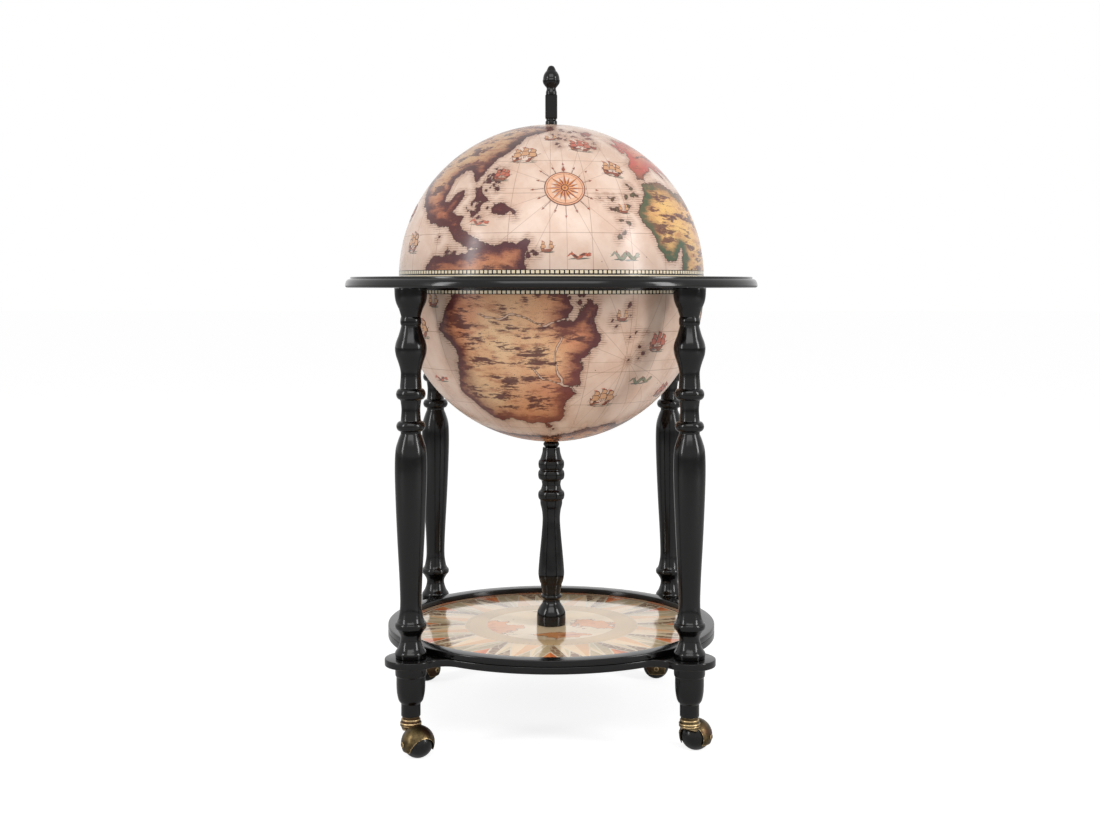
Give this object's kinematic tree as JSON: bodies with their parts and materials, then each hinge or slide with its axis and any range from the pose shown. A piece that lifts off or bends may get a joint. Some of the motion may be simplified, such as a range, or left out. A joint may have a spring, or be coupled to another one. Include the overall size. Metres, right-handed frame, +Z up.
{
  "type": "floor globe bar",
  "caption": "Globe-shaped drinks bar with a hinged upper half in a horizon ring, on turned legs with a round shelf, centre column and ball casters.",
  "frame": {"origin": "on the floor under the globe's vertical axis, at the centre of the ring's footprint", "axes": "+Z up, -Y towards the front that the picture shows, dome hinge at the rear on +Y"},
  "size_m": [0.566, 0.566, 0.8958],
  "materials": {
    "lacquer": "black satin lacquer on turned wood and board",
    "globe_print": "gloss laminated paper print on a moulded shell",
    "panel_print": "gloss laminated paper print on thin board",
    "interior_wood": "stained satin board",
    "brass": "antique patina",
    "steel": "zinc plated",
    "caster_ball": "moulded black, gloss"
  },
  "bodies": {
    "frame": {"horizon_ring": "lacquer", "lower_bowl": "globe_print", "bottle_rack": "interior_wood", "bottle_floor": "interior_wood", "base_board": "lacquer", "tray_rim": "lacquer", "tray_panel": "panel_print", "center_column": "lacquer", "bowl_boss": "lacquer", "column_bolt": "steel", "bowl_bolt": "steel", "hinge_leaf_ring": "brass", "hinge_pin": "brass", "hinge_screw_ring_1": "brass", "hinge_screw_ring_2": "brass", "leg_front_left": "lacquer", "foot_front_left": "lacquer", "ring_stud_front_left": "steel", "foot_stud_front_left": "steel", "caster_stem_front_left": "brass", "leg_front_right": "lacquer", "foot_front_right": "lacquer", "ring_stud_front_right": "steel", "foot_stud_front_right": "steel", "caster_stem_front_right": "brass", "leg_rear_left": "lacquer", "foot_rear_left": "lacquer", "ring_stud_rear_left": "steel", "foot_stud_rear_left": "steel", "caster_stem_rear_left": "brass", "leg_rear_right": "lacquer", "foot_rear_right": "lacquer", "ring_stud_rear_right": "steel", "foot_stud_rear_right": "steel", "caster_stem_rear_right": "brass"},
    "dome": {"upper_dome": "globe_print", "finial": "lacquer", "finial_bolt": "steel", "finial_nut": "brass", "hinge_leaf_dome": "brass", "hinge_screw_dome_1": "brass", "hinge_screw_dome_2": "brass"},
    "caster_front_left": {"caster_hood_front_left": "brass", "caster_axle_front_left": "brass"},
    "ball_front_left": {"caster_ball_front_left": "caster_ball"},
    "caster_front_right": {"caster_hood_front_right": "brass", "caster_axle_front_right": "brass"},
    "ball_front_right": {"caster_ball_front_right": "caster_ball"},
    "caster_rear_left": {"caster_hood_rear_left": "brass", "caster_axle_rear_left": "brass"},
    "ball_rear_left": {"caster_ball_rear_left": "caster_ball"},
    "caster_rear_right": {"caster_hood_rear_right": "brass", "caster_axle_rear_right": "brass"},
    "ball_rear_right": {"caster_ball_rear_right": "caster_ball"}
  },
  "joints": [
    {"name": "dome_hinge", "type": "hinge", "parent": "frame", "child": "dome", "pos_m": [0, 0.2138, 0.6065], "axis": [-1, 0, 0], "range_deg": [0, 95]},
    {"name": "swivel_front_left", "type": "hinge", "parent": "frame", "child": "caster_front_left", "pos_m": [-0.17607, -0.17607, 0.04], "axis": [0, 0, 1], "continuous": true},
    {"name": "roll_front_left", "type": "hinge", "parent": "caster_front_left", "child": "ball_front_left", "pos_m": [-0.16547, -0.19303, 0.019], "axis": [0.848, 0.5299, 0], "continuous": true},
    {"name": "swivel_front_right", "type": "hinge", "parent": "frame", "child": "caster_front_right", "pos_m": [0.17607, -0.17607, 0.04], "axis": [0, 0, 1], "continuous": true},
    {"name": "roll_front_right", "type": "hinge", "parent": "caster_front_right", "child": "ball_front_right", "pos_m": [0.18546, -0.15841, 0.019], "axis": [-0.8829, 0.4695, 0], "continuous": true},
    {"name": "swivel_rear_left", "type": "hinge", "parent": "frame", "child": "caster_rear_left", "pos_m": [-0.17607, 0.17607, 0.04], "axis": [0, 0, 1], "continuous": true},
    {"name": "roll_rear_left", "type": "hinge", "parent": "caster_rear_left", "child": "ball_rear_left", "pos_m": [-0.18811, 0.1601, 0.019], "axis": [0.7986, -0.6018, 0], "continuous": true},
    {"name": "swivel_rear_right", "type": "hinge", "parent": "frame", "child": "caster_rear_right", "pos_m": [0.17607, 0.17607, 0.04], "axis": [0, 0, 1], "continuous": true},
    {"name": "roll_rear_right", "type": "hinge", "parent": "caster_rear_right", "child": "ball_rear_right", "pos_m": [0.15608, 0.17677, 0.019], "axis": [-0.0349, -0.9994, 0], "continuous": true}
  ]
}
